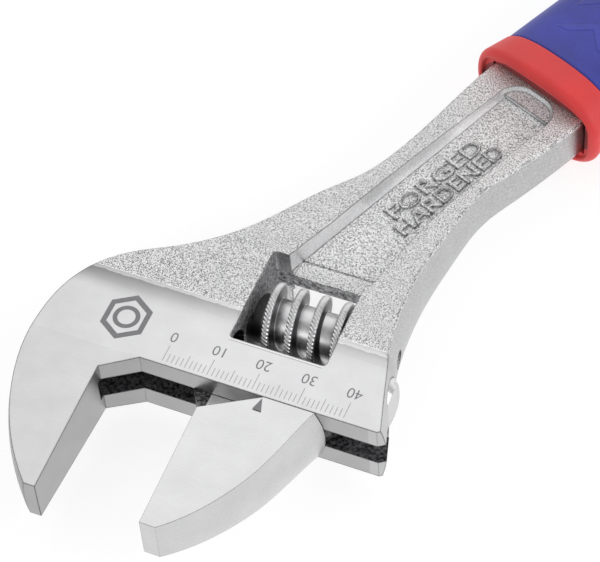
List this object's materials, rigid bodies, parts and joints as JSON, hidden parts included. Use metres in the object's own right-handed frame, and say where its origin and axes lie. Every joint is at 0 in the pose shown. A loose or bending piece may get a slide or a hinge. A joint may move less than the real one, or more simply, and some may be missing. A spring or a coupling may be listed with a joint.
{
  "type": "adjustable wrench",
  "caption": "Adjustable wrench with a sliding jaw driven by a knurled worm in the head, a forged steel shank set at an angle, and an oval moulded grip with a hanging hole.",
  "frame": {"origin": "centre of the fixed jaw's gripping face, at mid-thickness of the head", "axes": "+X out of the fixed jaw's gripping face, the way the movable jaw opens; +Y towards the handle, which leans 22.5 degrees towards +X; +Z out of the face with the scale"},
  "size_m": [0.1317, 0.2392, 0.0218],
  "materials": {
    "plated_forging": "satin chrome plate, ground bright on the head and blasted on the shank",
    "knurl_steel": "turned and knurled, bright",
    "pin_steel": "turned",
    "spring_steel": "drawn wire",
    "red_grip": "moulded, satin",
    "blue_grip": "moulded, satin"
  },
  "bodies": {
    "head": {"body": "plated_forging", "knurl_pin": "pin_steel", "knurl_spring": "spring_steel", "grip_collar": "red_grip", "grip_sleeve": "blue_grip", "grip_cap": "red_grip"},
    "jaw": {"movable_jaw": "plated_forging"},
    "knurl": {"adjusting_knurl": "knurl_steel"}
  },
  "joints": [
    {"name": "jaw_slide", "type": "slide", "parent": "head", "child": "jaw", "axis": [1, 0, 0], "range_m": [-0.02298, 0.017]},
    {"name": "knurl_spin", "type": "hinge", "parent": "head", "child": "knurl", "pos_m": [0.0333, 0.04295, 0], "axis": [1, 0, 0], "range_deg": [-1240, 1660]}
  ],
  "couplings": [
    {"joint": "knurl_spin", "follows": "jaw_slide", "rad_per_m": -1236.8}
  ]
}
